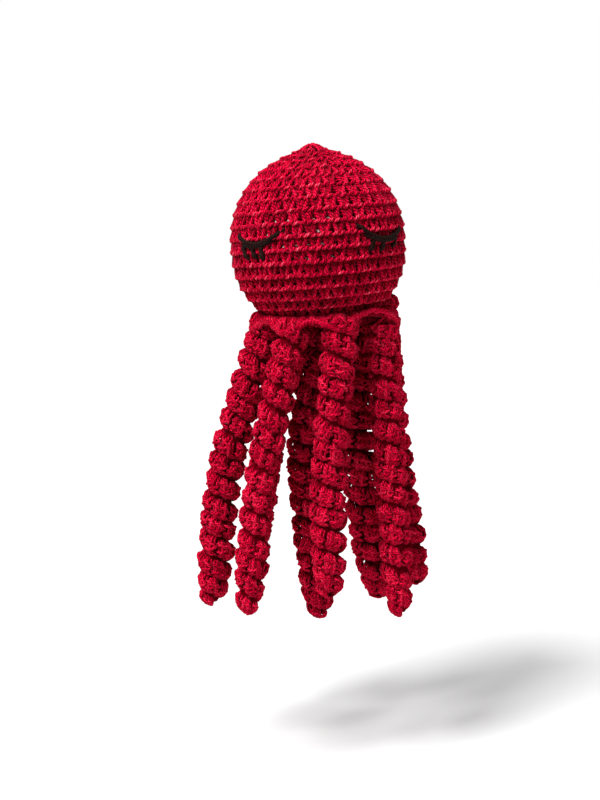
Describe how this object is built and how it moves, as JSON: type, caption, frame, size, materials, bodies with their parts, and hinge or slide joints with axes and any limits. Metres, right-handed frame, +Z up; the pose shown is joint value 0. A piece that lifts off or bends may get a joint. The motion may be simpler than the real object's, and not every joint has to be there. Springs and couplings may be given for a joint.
{
  "type": "crocheted octopus toy",
  "caption": "Crocheted red octopus toy: a stuffed round head with sleeping eyes, a scalloped collar and corkscrew tentacles that swing and curl.",
  "frame": {"origin": "the tip of the crown, where the toy is held or hung", "axes": "+Z up along the hanging toy, the face looks along -Y, +X towards the toy's left hand side as the viewer's right"},
  "size_m": [0.0956, 0.0766, 0.2085],
  "materials": {
    "red_yarn": "crocheted crimson cotton yarn with a soft gloss",
    "black_yarn": "matte black-brown embroidery yarn",
    "stuffing": "white polyester fibre filling"
  },
  "bodies": {
    "head": {"head_cover": "red_yarn", "head_stuffing": "stuffing", "base_disc": "red_yarn", "tentacle_collar": "red_yarn", "base_seam": "red_yarn", "left_eyelid": "black_yarn", "left_lash_1": "black_yarn", "left_lash_2": "black_yarn", "left_lash_3": "black_yarn", "right_eyelid": "black_yarn", "right_lash_1": "black_yarn", "right_lash_2": "black_yarn", "right_lash_3": "black_yarn"},
    "tentacle_1_upper": {"tentacle_1_upper": "red_yarn"},
    "tentacle_1_lower": {"tentacle_1_lower": "red_yarn"},
    "tentacle_2_upper": {"tentacle_2_upper": "red_yarn"},
    "tentacle_2_lower": {"tentacle_2_lower": "red_yarn"},
    "tentacle_3_upper": {"tentacle_3_upper": "red_yarn"},
    "tentacle_3_lower": {"tentacle_3_lower": "red_yarn"},
    "tentacle_4_upper": {"tentacle_4_upper": "red_yarn"},
    "tentacle_4_lower": {"tentacle_4_lower": "red_yarn"},
    "tentacle_5_upper": {"tentacle_5_upper": "red_yarn"},
    "tentacle_5_lower": {"tentacle_5_lower": "red_yarn"},
    "tentacle_6_upper": {"tentacle_6_upper": "red_yarn"},
    "tentacle_6_lower": {"tentacle_6_lower": "red_yarn"},
    "tentacle_7_upper": {"tentacle_7_upper": "red_yarn"},
    "tentacle_7_lower": {"tentacle_7_lower": "red_yarn"},
    "tentacle_8_upper": {"tentacle_8_upper": "red_yarn"},
    "tentacle_8_lower": {"tentacle_8_lower": "red_yarn"}
  },
  "joints": [
    {"name": "tentacle_1_swing", "type": "hinge", "parent": "head", "child": "tentacle_1_upper", "pos_m": [-0.02015, -0.0053, -0.07908], "axis": [-0.2079, 0.9781, 0], "range_deg": [0, 60]},
    {"name": "tentacle_1_curl", "type": "hinge", "parent": "tentacle_1_upper", "child": "tentacle_1_lower", "pos_m": [-0.03532, -0.00636, -0.13193], "axis": [-0.2079, 0.9781, 0], "range_deg": [0, 75]},
    {"name": "tentacle_2_swing", "type": "hinge", "parent": "head", "child": "tentacle_2_upper", "pos_m": [-0.00874, -0.02163, -0.07838], "axis": [-0.848, 0.5299, 0], "range_deg": [0, 60]},
    {"name": "tentacle_2_curl", "type": "hinge", "parent": "tentacle_2_upper", "child": "tentacle_2_lower", "pos_m": [-0.02026, -0.02645, -0.13194], "axis": [-0.848, 0.5299, 0], "range_deg": [0, 75]},
    {"name": "tentacle_3_swing", "type": "hinge", "parent": "head", "child": "tentacle_3_upper", "pos_m": [0.0109, -0.02474, -0.07718], "axis": [-0.9703, -0.2419, 0], "range_deg": [0, 60]},
    {"name": "tentacle_3_curl", "type": "hinge", "parent": "tentacle_3_upper", "child": "tentacle_3_lower", "pos_m": [0.00653, -0.02911, -0.13183], "axis": [-0.9703, -0.2419, 0], "range_deg": [0, 75]},
    {"name": "tentacle_4_swing", "type": "hinge", "parent": "head", "child": "tentacle_4_upper", "pos_m": [0.02656, -0.01313, -0.07622], "axis": [-0.515, -0.8572, 0], "range_deg": [0, 60]},
    {"name": "tentacle_4_curl", "type": "hinge", "parent": "tentacle_4_upper", "child": "tentacle_4_lower", "pos_m": [0.03202, -0.01641, -0.13085], "axis": [-0.515, -0.8572, 0], "range_deg": [0, 75]},
    {"name": "tentacle_5_swing", "type": "hinge", "parent": "head", "child": "tentacle_5_upper", "pos_m": [0.02944, 0.00617, -0.07604], "axis": [0.2419, -0.9703, 0], "range_deg": [0, 60]},
    {"name": "tentacle_5_curl", "type": "hinge", "parent": "tentacle_5_upper", "child": "tentacle_5_lower", "pos_m": [0.03599, 0.00781, -0.13063], "axis": [0.2419, -0.9703, 0], "range_deg": [0, 75]},
    {"name": "tentacle_6_swing", "type": "hinge", "parent": "head", "child": "tentacle_6_upper", "pos_m": [0.01898, 0.02114, -0.07668], "axis": [0.829, -0.5592, 0], "range_deg": [0, 60]},
    {"name": "tentacle_6_curl", "type": "hinge", "parent": "tentacle_6_upper", "child": "tentacle_6_lower", "pos_m": [0.0209, 0.02334, -0.13161], "axis": [0.829, -0.5592, 0], "range_deg": [0, 75]},
    {"name": "tentacle_7_swing", "type": "hinge", "parent": "head", "child": "tentacle_7_upper", "pos_m": [0.00474, 0.0255, -0.07756], "axis": [1, 0, 0], "range_deg": [0, 60]},
    {"name": "tentacle_7_curl", "type": "hinge", "parent": "tentacle_7_upper", "child": "tentacle_7_lower", "pos_m": [-0.00254, 0.02985, -0.1319], "axis": [1, 0, 0], "range_deg": [0, 75]},
    {"name": "tentacle_8_swing", "type": "hinge", "parent": "head", "child": "tentacle_8_upper", "pos_m": [-0.01022, 0.02063, -0.07847], "axis": [0.809, 0.5878, 0], "range_deg": [0, 60]},
    {"name": "tentacle_8_curl", "type": "hinge", "parent": "tentacle_8_upper", "child": "tentacle_8_lower", "pos_m": [-0.01917, 0.02172, -0.13273], "axis": [0.809, 0.5878, 0], "range_deg": [0, 75]}
  ]
}
